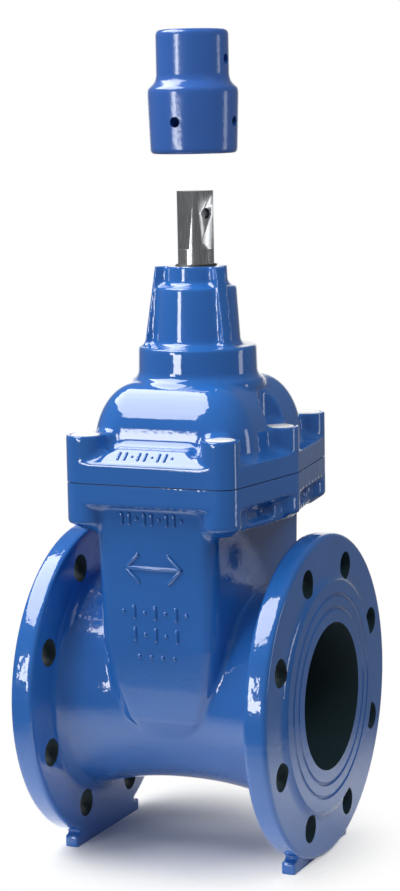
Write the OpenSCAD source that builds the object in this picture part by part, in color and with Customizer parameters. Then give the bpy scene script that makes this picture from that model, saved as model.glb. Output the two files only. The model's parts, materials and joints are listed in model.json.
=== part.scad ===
// Flanged gate valve with a resilient wedge, a non-rising stem and a loose stem cap.
// Origin: on the floor under the stem. +X runs along the pipe, +Z up the stem. Millimetres.

/* [Pipe ends] */
// Bore of the pipe ends
bore_d = 100; // [92:1:104]
// Face to face length of the valve
face_to_face = 190; // [186:1:220]
// Outside diameter of the end flanges
flange_d = 220; // [212:1:240]
// Thickness of the flange rim
flange_t = 16; // [12:0.5:20]
// Rounding of the flange rim
rim_round = 3.5; // [1:0.5:5]
// Distance of the bolt holes from the flange rim, to their centres
bolt_rim = 20; // [16:0.5:24]
// Bolt hole in the end flanges
bolt_hole_d = 19; // [14:0.5:20]
// Number of bolt holes in each end flange
bolt_count = 8; // [4:4:12]
// Land between the bolt holes and the raised sealing face
raised_land = 2.5; // [1:0.5:5]
// Height of the raised sealing face
raised_h = 3; // [1:0.5:4]
// Width and depth of a face groove
groove_size = 1.2; // [0.6:0.1:2]
// Width of the foot under each flange
foot_width = 98; // [80:1:120]
// Thickness of the foot along the pipe
foot_t = 10; // [6:0.5:14]
// Height of the foot where it stands out beside the rim
foot_h = 8.5; // [6:0.5:12]
// How far the foot stands below the flange rim
foot_drop = 1.5; // [0.5:0.5:4]

/* [Body casting] */
// Wall of the barrel round the bore
barrel_wall = 14.5; // [13:0.5:18]
// Growth of the barrel radius towards a flange
barrel_flare = 12; // [6:0.5:12]
// Fillet where the barrel meets a flange
flange_fillet = 3; // [1:0.5:4]
// Wall of the neck beside the wedge
neck_wall = 9.5; // [8:0.5:12]
// Extra wall at the narrow ends of the neck
neck_end_wall = 13; // [10:0.5:16]
// Vertical corner radius of the neck
neck_corner = 10; // [8:1:14]
// Depth of the neck's rounded foot under the pipe axis
neck_foot_drop = 24; // [16:1:30]
// Depth of the body flange under the joint face
joint_flange_t = 13.5; // [10:0.5:18]
// Depth of the bolt columns under the joint face
column_h = 30; // [28:1:34]
// Step in from the flange edge to the skirt between the columns
skirt_step = 4.5; // [2:0.5:7]

/* [Wedge and screw] */
// Sealing band of the wedge outside the bore
seat_band = 4; // [3:0.5:5]
// Thickness of the wedge at its lowest point
wedge_t = 40; // [32:1:42]
// Slope of each wedge face
seat_angle = 5; // [3:0.5:6]
// Gap between a wedge face and its seat when shut
seat_gap = 0.3; // [0.2:0.05:0.5]
// Free space between the wedge and the chamber wall
wedge_clearance = 4; // [3:0.5:6]
// How far the wedge guides stand out past the sealing band
guide_out = 7; // [6:0.5:8]
// Thickness of the wedge guides
guide_t = 14; // [10:1:18]
// Height of the wedge guides
guide_h = 32; // [20:1:40]
// Running clearance of the guides in their grooves
guide_gap = 0.6; // [0.4:0.1:1]
// Width of the nut housing on top of the wedge
housing_w = 76; // [70:1:80]
// Height of the nut housing above the sealing band
housing_h = 24; // [22:1:26]
// Width of the wedge nut
nut_w = 36; // [34:1:38]
// Height of the wedge nut
nut_h = 20; // [16:1:21]
// Clearance of the nut in its pocket
nut_gap = 0.3; // [0.2:0.05:0.5]
// Head room over the raised wedge
head_room = 24; // [20:1:30]

/* [Stem] */
// Diameter of the stem
stem_d = 24.5; // [22:0.5:26]
// Width across flats at the top of the square
square_top = 19; // [17:0.5:20]
// Width across flats at the foot of the square
square_foot = 22.5; // [20.5:0.5:23]
// Length of the square
square_h = 39; // [30:1:42]
// Plain stem between the tower and the square
stem_shoulder_h = 11; // [8:1:16]
// Turn of the square about the stem
square_turn = -20.5; // [-45:0.5:45]
// Cross hole for the cap pin
pin_hole_d = 7; // [5:0.5:8]
// Depth of the cross hole below the stem end
pin_hole_depth = 15; // [10:1:20]
// Diameter of the thrust collar
thrust_d = 35; // [32:1:37]
// Height of the thrust collar
thrust_h = 8; // [6:0.5:9]
// Running clearance round the stem
running_gap = 0.08; // [0.03:0.01:0.1]

/* [Bonnet casting] */
// Rim height of the bonnet flange over the joint face
deck_h = 14; // [11:0.5:17]
// Height of the bolt bosses over the joint face
boss_h = 31; // [29:0.5:34]
// Radius of a bolt boss
boss_r = 13; // [12.5:0.5:14]
// Distance of a corner bolt from the chamber, across the pipe
bolt_land_y = 8.2; // [7:0.2:10]
// Distance of a corner bolt from the chamber, along the pipe
bolt_land_x = 15.2; // [14:0.1:17]
// Distance of a middle bolt from the chamber
middle_land = 25.8; // [24.4:0.2:28]
// Radius of the socket clearance cut into the dome over a bolt
notch_r = 14.5; // [13.5:0.5:16]
// Wall of the dome
dome_wall = 7.5; // [6:0.5:9]
// Side radius of the dome
dome_r = 30; // [27:1:32]
// Height of the dome's rounded shoulder
dome_shoulder = 43; // [40:1:48]
// Diameter of the collar on the dome
collar_d = 81; // [76:1:84]
// Height of the collar
collar_h = 22.5; // [18:0.5:26]
// Height of the tower over the collar
tower_h = 53.5; // [48:0.5:60]
// Radius of the tower at its foot
tower_foot_r = 29.5; // [27:0.5:31]
// Radius of the tower at its ledge
tower_ledge_r = 27; // [25:0.5:28]
// Radius of the tower at its mouth
tower_mouth_r = 21; // [20.5:0.5:22]
// Height of the mouth above the ledge
tower_mouth_h = 13.5; // [10:0.5:16]
// Thickness of a tower rib
rib_t = 8; // [6:0.5:10]
// Reach of a rib at the top
rib_top_r = 28; // [25.5:0.5:30]
// Reach of a rib at the foot
rib_foot_r = 36; // [34:0.5:38]

/* [Joint bolts] */
// Thickness of the gasket that shows in the joint
gasket_t = 0.6; // [0.5:0.1:1.5]
// Step in from the flange edge to the gasket
gasket_step = 1.5; // [1:0.5:3]
// Diameter of the joint bolts
joint_bolt_d = 12; // [10:1:12]
// Diameter of the bolt heads
head_d = 18; // [16:0.5:18.5]
// Height of the bolt heads
head_h = 12; // [10:1:13]
// Floor under a bolt head
boss_floor = 10.5; // [8:0.5:12]
// Diameter of the recess over a bolt head
recess_d = 20.6; // [20:0.2:21.6]
// How far a sealing plug stands out of its recess
plug_proud = 0.6; // [0.2:0.1:1]

/* [Stem cap] */
// Distance of the lifted cap above the stem end
cap_lift = 24.6; // [10:0.2:60]
// Radius of the cap's skirt at its widest
cap_r = 30.5; // [29:0.5:33]
// Draft of the cap's skirt towards its lower rim
cap_draft = 1.2; // [0:0.1:2]
// Height of the cap's skirt
cap_skirt_h = 41; // [40:1:46]
// Height of the cap's shoulder
cap_shoulder_h = 9; // [7:0.5:12]
// Radius of the cap's crown
crown_r = 24.5; // [23.5:0.5:27]
// Height of the cap's crown
crown_h = 32; // [24:1:36]
// Width of the square socket in the crown
crown_socket = 28; // [24:0.5:29]
// Depth of the square socket in the crown
crown_socket_h = 30; // [22:1:33]
// Clearance of the stem in the cap's socket
cap_gap = 0.4; // [0.2:0.1:0.8]
// Height of the lower cross holes over the cap's rim
cap_hole_h = 21; // [16:1:26]
// Depth of the upper cross hole below the crown
crown_hole_depth = 20; // [16:1:24]

/* [Hidden] */
$fn = 96;
hull_fn = 32;
far = 300;
skin = 0.01;
face_inset = 0.5;

bore_r = bore_d / 2;
flange_r = flange_d / 2;
face_x = face_to_face / 2;
flange_out_x = face_x - raised_h;
flange_in_x = flange_out_x - flange_t;
axis_z = flange_r + foot_drop;
barrel_r = bore_r + barrel_wall;
flare_steps = 10;
flare_power = 2.2;
arc_steps = 6;
dome_steps = 8;
bolt_circle_r = flange_r - bolt_rim;
raised_r = bolt_circle_r - bolt_hole_d / 2 - raised_land;
groove_radii = [bore_r + 0.34 * (raised_r - bore_r), bore_r + 0.66 * (raised_r - bore_r)];

// Wedge, shut. Heights are taken from the pipe axis.
wedge_r = bore_r + seat_band;
wedge_base_x = wedge_t / 2;
slope = tan(seat_angle);
wedge_side_x = wedge_base_x + 2 * wedge_r * slope;
stroke = wedge_r + bore_r;
wedge_top = wedge_r + housing_h;
guide_y = wedge_r + guide_out;
guide_low = 6.5;
housing_wall = 6;
housing_x = nut_w / 2 + housing_wall;
stem_hole_gap = 2.5;
stem_hole_r = stem_d / 2 + stem_hole_gap;

// Chamber that holds the wedge, and the neck round it
chamber_x = wedge_side_x + wedge_clearance;
chamber_low_y = wedge_r + 0.75 * wedge_clearance;
guide_end_gap = 5;
chamber_top_y = guide_y + guide_end_gap;
chamber_corner = 14;
neck_top_x = chamber_x + neck_wall;
neck_top_y = chamber_top_y + neck_end_wall;
neck_mid_z = axis_z + 0.8 * wedge_r;
neck_low_z = axis_z + 0.26 * wedge_r;
neck_base_z = axis_z - 0.16 * wedge_r;
neck_foot_z = axis_z - neck_foot_drop;

// Joint between the body and the bonnet
guide_head_room = 9;
joint_z = axis_z + guide_low + guide_h + stroke + guide_head_room;
body_top_z = joint_z - gasket_t / 2;
bonnet_foot_z = joint_z + gasket_t / 2;
neck_levels = [
    [neck_top_x, neck_top_y, body_top_z - 2],
    [0.99 * neck_top_x, 0.945 * neck_top_y, neck_mid_z],
    [0.885 * neck_top_x, 0.905 * neck_top_y, neck_low_z],
    [0.72 * neck_top_x, 0.855 * neck_top_y, neck_base_z],
    [0.48 * neck_top_x, 0.74 * neck_top_y, neck_foot_z]];
bolt_x = chamber_x + bolt_land_x;
bolt_y = chamber_top_y + bolt_land_y;
middle_x = chamber_x + middle_land;
joint_bolts = [[bolt_x, -bolt_y], [middle_x, 0], [bolt_x, bolt_y],
               [-bolt_x, bolt_y], [-middle_x, 0], [-bolt_x, -bolt_y]];
column_z = joint_z - column_h;
column_taper = 3;
skirt_y = neck_top_y - 5;
thread_hole_r = joint_bolt_d / 2 + 0.05;
thread_floor = 6;
bolt_seat_z = bonnet_foot_z + boss_floor;
boss_top_z = joint_z + boss_h;
plug_gap = 0.2;

// Bonnet heights, and the core that the dome is rounded about
dome_top_z = axis_z + wedge_top + stroke + head_room + dome_wall;
dome_mid_z = dome_top_z - dome_shoulder;
dome_core_in = 5.5;
dome_core_x = chamber_x - dome_core_in;
dome_core_y = chamber_top_y - dome_r;
notch_wall = 5;
collar_top_z = dome_top_z + collar_h;
tower_top_z = collar_top_z + tower_h;
ledge_z = tower_top_z - tower_mouth_h;
collar_fillet = 5;
ledge_edge = 1;
ledge_x = bolt_x - 8 * ledge_edge;
ledge_rise = 7;
rib_angles = [-30, 90, 210];

// Stem, bearing and seals
stem_r = stem_d / 2;
stem_top_z = tower_top_z + stem_shoulder_h + square_h;
square_z = stem_top_z - square_h;
stem_foot_z = axis_z + wedge_r;
thrust_rise = 8;
thrust_z = dome_top_z + thrust_rise;
thrust_gap = 0.1;
thrust_r = thrust_d / 2;
thrust_room_r = thrust_r + 0.4;
ring_land = 3;
ring_r = thrust_r + ring_land;
ring_z = dome_top_z - dome_wall;
bush_wall = 2.2;
bush_r = stem_r + bush_wall;
bush_z = thrust_z + thrust_h + thrust_rise;
wiper_r = stem_r + 1;
wiper_h = 4;
wiper_proud = 1;
bush_top_z = tower_top_z + wiper_proud - wiper_h;

// Cap
cap_z = stem_top_z + cap_lift;
cap_shoulder_z = cap_z + cap_skirt_h;
crown_z = cap_shoulder_z + cap_shoulder_h;
cap_top_z = crown_z + crown_h;
cap_round = 3;
cap_bend = 4;
cap_bend_angle = 70;

// Points of a quarter circle about a centre, from one angle to another.
function arc(cx, cy, r, from, to) =
    [for (k = [0:arc_steps]) let (a = from + (to - from) * k / arc_steps) [cx + r * cos(a), cy + r * sin(a)]];

// Half of the barrel and one flange: x along the pipe, y as the radius.
function pipe_end_profile() = let (
    flare_x = flange_in_x - flange_fillet,
    flare_r = barrel_r + barrel_flare * pow(flare_x / flange_in_x, flare_power))
concat(
    [[0, bore_r]],
    [for (k = [0:flare_steps]) let (x = flare_x * k / flare_steps)
        [x, barrel_r + barrel_flare * pow(x / flange_in_x, flare_power)]],
    [for (p = arc(flare_x, flare_r + flange_fillet, flange_fillet, -90, 0)) p],
    arc(flange_in_x + rim_round, flange_r - rim_round, rim_round, 180, 90),
    arc(flange_out_x - rim_round, flange_r - rim_round, rim_round, 90, 0),
    [[flange_out_x, raised_r + raised_h / 2], [face_x, raised_r]],
    [for (g = [1, 0]) each [
        [face_x, groove_radii[g] + groove_size],
        [face_x - groove_size, groove_radii[g]],
        [face_x, groove_radii[g] - groove_size]]],
    [[face_x, bore_r]]);

// Turns a shape drawn along Z so that it lies along the pipe axis.
module along_pipe() translate([0, 0, axis_z]) rotate([0, 90, 0]) children();

// Four posts at the corners of a rounded rectangle of half sizes x and y.
module corner_posts(x, y, r, z, h, r_top = -1)
    for (sx = [-1, 1], sy = [-1, 1])
        translate([sx * (x - r), sy * (y - r), z])
            cylinder(r1 = r, r2 = r_top < 0 ? r : r_top, h = h, $fn = hull_fn);

// Outline of the joint flange, drawn round the six bolts.
module joint_outline(step = 0)
    hull() for (p = joint_bolts) translate(p) circle(r = boss_r - step, $fn = 48);

module at_joint_bolts() for (p = joint_bolts) translate([p.x, p.y, 0]) children();

module pipe_ends()
    along_pipe() for (side = [0, 1]) mirror([0, 0, side])
        rotate_extrude() polygon([for (p = pipe_end_profile()) [p.y, p.x]]);

module flange_feet()
    for (side = [0, 1]) mirror([side, 0, 0])
        translate([flange_in_x + face_inset, -foot_width / 2, 0]) cube([foot_t, foot_width, foot_h]);

// Neck with upright walls beside the wedge, rounded in towards its foot on the barrel.
module neck()
    hull() for (level = neck_levels) corner_posts(level.x, level.y, neck_corner, level.z, 1);

// Flange at the top of the body, with a bolt column under each bolt and a skirt between them.
module joint_flange() {
    translate([0, 0, body_top_z - joint_flange_t]) linear_extrude(joint_flange_t) joint_outline();
    intersection() {
        translate([0, 0, column_z]) linear_extrude(column_h - joint_flange_t) joint_outline(skirt_step);
        translate([-far, -skirt_y, column_z]) cube([2 * far, 2 * skirt_y, column_h]);
    }
    at_joint_bolts() translate([0, 0, column_z]) {
        cylinder(r1 = boss_r - 2 * column_taper, r2 = boss_r - face_inset, h = column_taper);
        translate([0, 0, column_taper])
            cylinder(r = boss_r - face_inset, h = column_h - joint_flange_t - column_taper + 2);
    }
}

// Space for the wedge: sloped seats low down, straight walls above them, and two guide grooves.
module wedge_chamber() {
    intersection() {
        rotate([90, 0, 0]) linear_extrude(2 * far, center = true)
            polygon([
                [-wedge_base_x - seat_gap, axis_z - wedge_r], [wedge_base_x + seat_gap, axis_z - wedge_r],
                [wedge_side_x + seat_gap, axis_z + wedge_r], [-wedge_side_x - seat_gap, axis_z + wedge_r]]);
        union() {
            along_pipe() cylinder(r = wedge_r + seat_gap, h = far, center = true);
            translate([-far, -wedge_r - 2 * seat_gap, axis_z - 6])
                cube([2 * far, 2 * wedge_r + 4 * seat_gap, wedge_r + 6]);
        }
    }
    hull() {
        corner_posts(chamber_x, chamber_low_y, chamber_corner, axis_z + wedge_r - skin, 1);
        corner_posts(chamber_x, chamber_top_y, chamber_corner, joint_z, 5);
    }
    for (side = [-1, 1])
        translate([-guide_t / 2 - guide_gap, min(0, side * (guide_y + guide_gap)), axis_z + guide_low - guide_gap])
            cube([guide_t + 2 * guide_gap, guide_y + guide_gap, far]);
}

module valve_body() color("royalblue") difference() {
    union() {
        pipe_ends();
        flange_feet();
        neck();
        joint_flange();
    }
    along_pipe() cylinder(r = bore_r, h = far, center = true);
    wedge_chamber();
    along_pipe() for (side = [0, 1], k = [0:bolt_count - 1])
        mirror([0, 0, side]) rotate([0, 0, (k + 0.5) * 360 / bolt_count])
            translate([bolt_circle_r, 0, flange_in_x - 2 * flange_fillet])
                cylinder(d = bolt_hole_d, h = far);
    at_joint_bolts() translate([0, 0, column_z + thread_floor]) cylinder(r = thread_hole_r, h = column_h);
}

// Sloped ledge at the front and the back of the bonnet flange.
module front_ledges()
    for (side = [0, 1]) mirror([0, side, 0]) hull() {
        translate([-ledge_x, -bolt_y - boss_r + ledge_edge, bonnet_foot_z])
            cube([2 * ledge_x, ledge_edge, deck_h - 2 * ledge_edge]);
        translate([-dome_core_x, -bolt_y + 3, bonnet_foot_z])
            cube([2 * dome_core_x, ledge_edge, deck_h + ledge_rise]);
    }

// Dome drawn about a rectangular core, with this side radius and shoulder height.
module dome(side_r, shoulder, foot_z)
    hull() for (sx = [-1, 1], sy = [-1, 1]) translate([sx * dome_core_x, sy * dome_core_y, 0]) {
        translate([0, 0, dome_mid_z]) rotate_extrude($fn = hull_fn) polygon(concat([[0, 0]],
            [for (k = [0:dome_steps]) let (a = 90 * k / dome_steps) [side_r * cos(a), shoulder * sin(a)]]));
        translate([0, 0, foot_z]) cylinder(r = side_r, h = dome_mid_z - foot_z, $fn = hull_fn);
    }

module bolt_bosses()
    at_joint_bolts() translate([0, 0, bonnet_foot_z + 2])
        cylinder(r = boss_r - face_inset, h = boss_top_z - bonnet_foot_z - 2);

// Socket clearance over each bolt, cut into the dome with a rounded top.
module dome_notches()
    at_joint_bolts() {
        translate([0, 0, boss_top_z - 1]) cylinder(r = notch_r, h = 2 * notch_r + 1);
        translate([0, 0, boss_top_z + 2 * notch_r]) sphere(r = notch_r);
    }

module collar()
    rotate_extrude() polygon(concat(
        [[0, dome_top_z - 4], [collar_d / 2 + collar_fillet + 1, dome_top_z - 4]],
        [for (p = arc(collar_d / 2 + collar_fillet, dome_top_z + collar_fillet, collar_fillet, 270, 180)) p],
        [[collar_d / 2, collar_top_z - 1], [collar_d / 2 - 1, collar_top_z], [0, collar_top_z]]));

module tower() {
    rotate_extrude() polygon(concat(
        [[0, collar_top_z - 1], [tower_foot_r, collar_top_z - 1]],
        arc(tower_ledge_r - 2.5, ledge_z - 2.5, 2.5, 0, 90),
        [[tower_mouth_r + 1.5, ledge_z], [tower_mouth_r, ledge_z + 2],
         [tower_mouth_r, tower_top_z], [0, tower_top_z]]));
    for (a = rib_angles) rotate([0, 0, a]) translate([0, rib_t / 2, 0]) rotate([90, 0, 0])
        linear_extrude(rib_t) polygon([
            [tower_mouth_r - 3, collar_top_z - 1], [rib_foot_r, collar_top_z - 1],
            [rib_top_r, tower_top_z - 2], [rib_top_r - 2, tower_top_z], [tower_mouth_r - 3, tower_top_z]]);
}

module bonnet() color("royalblue") difference() {
    union() {
        translate([0, 0, bonnet_foot_z]) linear_extrude(deck_h - gasket_t / 2) joint_outline();
        front_ledges();
        bolt_bosses();
        difference() {
            dome(dome_r, dome_shoulder, bonnet_foot_z);
            dome_notches();
        }
        collar();
        tower();
    }
    difference() {
        dome(dome_r - dome_wall, dome_shoulder - dome_wall, bonnet_foot_z - 1);
        at_joint_bolts() translate([0, 0, bonnet_foot_z - 2])
            cylinder(r = notch_r + notch_wall, h = dome_shoulder + boss_h);
    }
    translate([0, 0, ring_z - 1]) cylinder(r = ring_r, h = thrust_z - thrust_gap - ring_z + 1);
    translate([0, 0, ring_z]) cylinder(r = thrust_room_r, h = thrust_z + thrust_h + thrust_gap - ring_z);
    translate([0, 0, dome_top_z]) cylinder(r = stem_r + 1, h = tower_h);
    translate([0, 0, bush_z]) cylinder(r = bush_r, h = far);
    at_joint_bolts() {
        translate([0, 0, bonnet_foot_z - 1]) cylinder(r = joint_bolt_d / 2 + 0.5, h = boss_floor + 2);
        translate([0, 0, bolt_seat_z]) cylinder(d = recess_d, h = boss_h);
    }
}

module bonnet_gasket() color("black") difference() {
    translate([0, 0, body_top_z]) linear_extrude(gasket_t) joint_outline(gasket_step);
    hull() corner_posts(chamber_x + 1, chamber_top_y + 1, chamber_corner, body_top_z - 1, gasket_t + 2);
    at_joint_bolts() translate([0, 0, body_top_z - 1]) cylinder(r = joint_bolt_d / 2 + 0.5, h = gasket_t + 2);
}

// Socket head bolt under a sealing plug.
module bonnet_bolt(i) color("silver")
translate([joint_bolts[i - 1].x, joint_bolts[i - 1].y, 0]) difference() {
    union() {
        translate([0, 0, column_z + thread_floor + 2])
            cylinder(d = joint_bolt_d, h = bolt_seat_z - column_z - thread_floor - 2 + skin);
        translate([0, 0, bolt_seat_z]) cylinder(d = head_d, h = head_h);
    }
    translate([0, 0, bolt_seat_z + head_h / 2]) cylinder(r = joint_bolt_d / 2 * 0.96, h = head_h, $fn = 6);
}

module bolt_seal(i) color("white") translate([joint_bolts[i - 1].x, joint_bolts[i - 1].y, 0]) {
    plug_z = bolt_seat_z + head_h + plug_gap;
    translate([0, 0, plug_z]) cylinder(d = recess_d - 2 * plug_gap, h = boss_top_z + plug_proud - plug_z);
}

// Brass ring screwed in from below, which keeps the thrust collar in the bonnet.
module thrust_ring() color("goldenrod") translate([0, 0, ring_z]) difference() {
    cylinder(r = ring_r - 0.05, h = thrust_z - thrust_gap - ring_z);
    translate([0, 0, -1]) cylinder(r = stem_r + running_gap, h = far);
}

module stem_bush() color("white") translate([0, 0, bush_z]) difference() {
    cylinder(r = bush_r - 0.05, h = bush_top_z - bush_z);
    translate([0, 0, -1]) cylinder(r = stem_r + running_gap, h = far);
}

module wiper_ring() color("black") translate([0, 0, bush_top_z]) rotate_extrude()
    polygon([
        [stem_r + running_gap, 0], [bush_r - 0.05, 0], [bush_r - 0.05, wiper_h - wiper_proud],
        [wiper_r, wiper_h], [stem_r + running_gap, wiper_h]]);

// Tapered square end: four flats cut into the round stem.
module stem_square_cuts() {
    lean = atan((square_foot - square_top) / 2 / square_h);
    for (k = [0:3]) rotate([0, 0, square_turn + 90 * k])
        translate([square_foot / 2, -stem_d, square_z]) rotate([0, -lean, 0])
            cube([stem_d, 2 * stem_d, 2 * square_h]);
}

module stem() color("silver") difference() {
    union() {
        translate([0, 0, stem_foot_z]) cylinder(r = stem_r, h = stem_top_z - stem_foot_z);
        translate([0, 0, thrust_z]) cylinder(r = thrust_r, h = thrust_h);
    }
    stem_square_cuts();
    translate([0, 0, stem_top_z - pin_hole_depth]) rotate([0, 90, square_turn])
        cylinder(d = pin_hole_d, h = 2 * stem_d, center = true);
}

module nut_pocket(gap)
    translate([-nut_w / 2 - gap, -nut_w / 2 - gap, axis_z + wedge_top - nut_h - gap])
        cube([nut_w + 2 * gap, nut_w + 2 * gap, nut_h + 2 * gap]);

// Rubber-covered wedge: a tapered disc with two guides and a housing for the nut.
module wedge() color("dimgray") difference() {
    union() {
        intersection() {
            rotate([90, 0, 0]) linear_extrude(2 * far, center = true)
                polygon([
                    [-wedge_base_x, axis_z - wedge_r], [wedge_base_x, axis_z - wedge_r],
                    [wedge_side_x, axis_z + wedge_r], [housing_x, axis_z + wedge_r + 4],
                    [housing_x, axis_z + wedge_top], [-housing_x, axis_z + wedge_top],
                    [-housing_x, axis_z + wedge_r + 4], [-wedge_side_x, axis_z + wedge_r]]);
            union() {
                along_pipe() cylinder(r = wedge_r, h = far, center = true);
                translate([-far, -housing_w / 2, axis_z]) cube([2 * far, housing_w, wedge_top]);
            }
        }
        for (side = [0, 1]) mirror([0, side, 0])
            translate([-guide_t / 2, wedge_r / 2, axis_z + guide_low])
                cube([guide_t, guide_y - wedge_r / 2, guide_h]);
    }
    translate([0, 0, axis_z - far]) cylinder(r = stem_hole_r, h = 2 * far);
    nut_pocket(nut_gap);
}

module wedge_nut() color("goldenrod") difference() {
    nut_pocket(0);
    cylinder(r = stem_r + running_gap, h = far * 2);
}

// Tapered square socket that fits the stem end.
module cap_stem_socket() {
    half_foot = square_foot / 2 + cap_gap;
    half_top = square_top / 2 + cap_gap;
    translate([0, 0, cap_z]) rotate([0, 0, square_turn]) hull() {
        translate([-half_foot, -half_foot, -1]) cube([2 * half_foot, 2 * half_foot, 1 + skin]);
        translate([-half_top, -half_top, square_h - skin]) cube([2 * half_top, 2 * half_top, skin]);
    }
}

module stem_cap() color("royalblue") difference() {
    rotate_extrude() polygon(concat(
        [[0, cap_z], [cap_r - cap_draft, cap_z]],
        [[cap_r, cap_shoulder_z - 2]],
        arc(cap_r - cap_bend, cap_shoulder_z, cap_bend, 0, cap_bend_angle),
        [[crown_r + 0.8, crown_z - 2], [crown_r, crown_z]],
        arc(crown_r - cap_round, cap_top_z - cap_round, cap_round, 0, 90),
        [[0, cap_top_z]]));
    cap_stem_socket();
    translate([-crown_socket / 2, -crown_socket / 2, cap_top_z - crown_socket_h])
        cube([crown_socket, crown_socket, crown_socket_h + 1]);
    for (a = [0, -90]) translate([0, 0, cap_z + cap_hole_h]) rotate([0, 90, a])
        cylinder(d = pin_hole_d, h = far);
    translate([0, 0, cap_top_z - crown_hole_depth]) rotate([0, 90, 0]) cylinder(d = pin_hole_d, h = far);
}

valve_body();
bonnet();
bonnet_gasket();
for (i = [1:6]) bonnet_bolt(i);
for (i = [1:6]) bolt_seal(i);
thrust_ring();
stem_bush();
wiper_ring();
stem();
wedge();
wedge_nut();
stem_cap();
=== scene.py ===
"""Looks of a flanged gate valve: coated castings, steel stem, sealing plugs, loose stem cap."""

import json
import math

import bpy
from bpy.props import FloatProperty, FloatVectorProperty, PointerProperty
from mathutils import Matrix, Vector

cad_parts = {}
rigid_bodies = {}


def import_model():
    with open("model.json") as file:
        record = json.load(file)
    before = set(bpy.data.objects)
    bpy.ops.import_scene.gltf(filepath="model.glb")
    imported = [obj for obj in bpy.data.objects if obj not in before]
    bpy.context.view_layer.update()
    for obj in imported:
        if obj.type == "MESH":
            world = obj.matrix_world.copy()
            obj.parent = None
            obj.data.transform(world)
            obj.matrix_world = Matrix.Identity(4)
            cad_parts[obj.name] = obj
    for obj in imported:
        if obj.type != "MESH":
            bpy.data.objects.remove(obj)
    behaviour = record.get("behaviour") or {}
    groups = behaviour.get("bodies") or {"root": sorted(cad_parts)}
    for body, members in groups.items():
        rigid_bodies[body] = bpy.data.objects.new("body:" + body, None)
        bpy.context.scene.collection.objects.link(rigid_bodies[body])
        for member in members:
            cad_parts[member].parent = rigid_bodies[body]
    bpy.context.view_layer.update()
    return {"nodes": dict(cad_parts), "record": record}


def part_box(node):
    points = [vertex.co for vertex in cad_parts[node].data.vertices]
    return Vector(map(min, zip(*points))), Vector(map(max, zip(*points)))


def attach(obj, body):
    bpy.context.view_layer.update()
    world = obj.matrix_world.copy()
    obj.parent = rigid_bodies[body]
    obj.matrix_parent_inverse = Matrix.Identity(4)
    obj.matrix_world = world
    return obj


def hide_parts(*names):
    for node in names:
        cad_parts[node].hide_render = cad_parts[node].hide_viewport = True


bl_info = {
    "name": "Flanged Gate Valve",
    "version": (1, 0, 0),
    "blender": (4, 5, 0),
    "location": "3D View > Sidebar > Gate Valve",
    "description": "Castings, stem and cap of a gate valve, built round its packed frame",
    "category": "Object",
}

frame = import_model()
MM = 0.001

# Cutters: reach past the whole part, a height over the joint, and the depth of a levelling slab
FAR, HIGH, SLAB = 0.2, 0.3, 0.05

MOUNTS = {mount["name"]: mount for mount in frame["record"]["mounts"]}
FLANGE, PIN_HOLE = MOUNTS["outlet_flange"], MOUNTS["stem_pin_hole"]
FLANGE_FACE_X = MOUNTS["outlet_face"]["pos_m"][0]
FLANGE_RIM_X, _, AXIS_Z = FLANGE["pos_m"]
BOLT_CIRCLE_R = FLANGE["dims"]["pcd_mm"] * MM / 2
BOLT_HOLE_R = FLANGE["dims"]["hole_r_mm"] * MM
BOLT_COUNT = FLANGE["dims"]["count"]
PIN_HOLE_R = PIN_HOLE["dims"]["r_mm"] * MM
SQUARE_TURN = math.atan2(PIN_HOLE["axis"][1], PIN_HOLE["axis"][0])
RIM_OVER_FLOOR = 1.5 * MM
FLANGE_R = AXIS_Z - RIM_OVER_FLOOR

BODY_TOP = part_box("valve_body")[1].z
JOINT_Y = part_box("bonnet")[1].y
BONNET_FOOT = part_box("bonnet")[0].z
TOWER_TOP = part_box("bonnet")[1].z
JOINT_Z = (BODY_TOP + BONNET_FOOT) / 2
BOLTS = [(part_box(f"bonnet_bolt_{i}")[0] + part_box(f"bonnet_bolt_{i}")[1]) / 2 for i in range(1, 7)]
BOLT_X = max(bolt.x for bolt in BOLTS if bolt.y > 1 * MM)
MIDDLE_X = max(bolt.x for bolt in BOLTS)
BOLT_Y = max(bolt.y for bolt in BOLTS)
BOSS_R = JOINT_Y - BOLT_Y
PLUG_R = (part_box("bolt_seal_1")[1].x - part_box("bolt_seal_1")[0].x) / 2
PLUG_LOW, PLUG_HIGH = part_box("bolt_seal_1")[0].z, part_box("bolt_seal_1")[1].z
BUSH_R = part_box("stem_bush")[1].x
CAP_LOW, CAP_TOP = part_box("stem_cap")[0].z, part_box("stem_cap")[1].z
CAP_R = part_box("stem_cap")[1].x


# Sizes and colours that a user would change


def length(name, description, default, **limits):
    return FloatProperty(
        name=name, description=description, default=default, unit="LENGTH", **limits)


class CastingSettings(bpy.types.PropertyGroup):
    blue: FloatVectorProperty(
        name="Casting blue", description="Colour of the epoxy coating", subtype="COLOR",
        size=3, min=0, max=1, default=(0.022, 0.134, 0.46))
    cap_blue: FloatVectorProperty(
        name="Cap blue", description="Colour of the paint on the stem cap", subtype="COLOR",
        size=3, min=0, max=1, default=(0.03, 0.118, 0.43))
    voxel: length(
        "Skin step", "Grid step at which the casting's skin is fused",
        1.4 * MM, min=0.8 * MM, max=3 * MM)
    barrel_fillet: length(
        "Barrel fillet", "Radius of the cast fillets between barrel and flanges",
        7 * MM, min=0, max=15 * MM)
    body_fillet: length(
        "Body fillet", "Radius of the cast fillets round the neck and the columns",
        2.6 * MM, min=0, max=8 * MM)
    bonnet_fillet: length(
        "Bonnet fillet", "Radius of the cast fillets on the bonnet", 3.6 * MM, min=0, max=12 * MM)


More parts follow.
